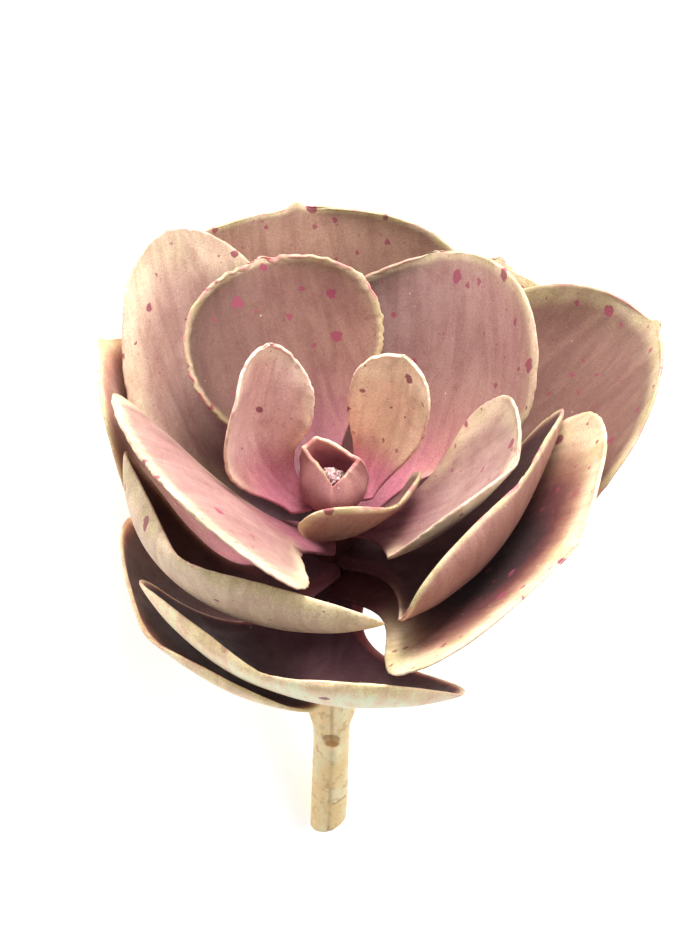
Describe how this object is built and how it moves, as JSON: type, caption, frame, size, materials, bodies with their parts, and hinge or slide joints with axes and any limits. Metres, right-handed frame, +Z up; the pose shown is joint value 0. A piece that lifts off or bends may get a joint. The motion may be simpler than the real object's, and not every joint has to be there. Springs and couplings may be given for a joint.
{
  "type": "echeveria rosette",
  "caption": "Cut lipstick echeveria rosette lying down, with broad cupped dusty mauve leaves, cream rims and a short pale stem.",
  "frame": {"origin": "centre of the bounding box's underside, on the surface that the plant lies on", "axes": "+Z up from the surface; +Y the way the stem lies, away from the open face of the rosette; +X to the right seen from the face"},
  "size_m": [0.1388, 0.1678, 0.1137],
  "materials": {
    "leaf": "soft velvety flesh, cream rims and maroon speckles",
    "bud": "soft velvety flesh, paler than the leaves",
    "stem": "dry, matt, with brown leaf scars"
  },
  "bodies": {
    "root": {"stem": "stem", "bud_leaflet_back": "bud", "bud_leaflet_left": "bud", "bud_leaflet_right": "bud", "leaf_heart_left": "leaf", "leaf_heart_right": "leaf", "leaf_heart_front": "leaf", "leaf_inner_back_left": "leaf", "leaf_inner_right": "leaf", "leaf_inner_back_right": "leaf", "leaf_inner_left": "leaf", "leaf_middle_left": "leaf", "leaf_middle_right": "leaf", "leaf_middle_front": "leaf", "leaf_outer_right": "leaf", "leaf_outer_left": "leaf", "leaf_outer_front": "leaf", "leaf_outer_back": "leaf", "leaf_outer_far_right": "leaf", "leaf_outer_back_right": "leaf", "leaf_lowest_left": "leaf"}
  },
  "joints": []
}
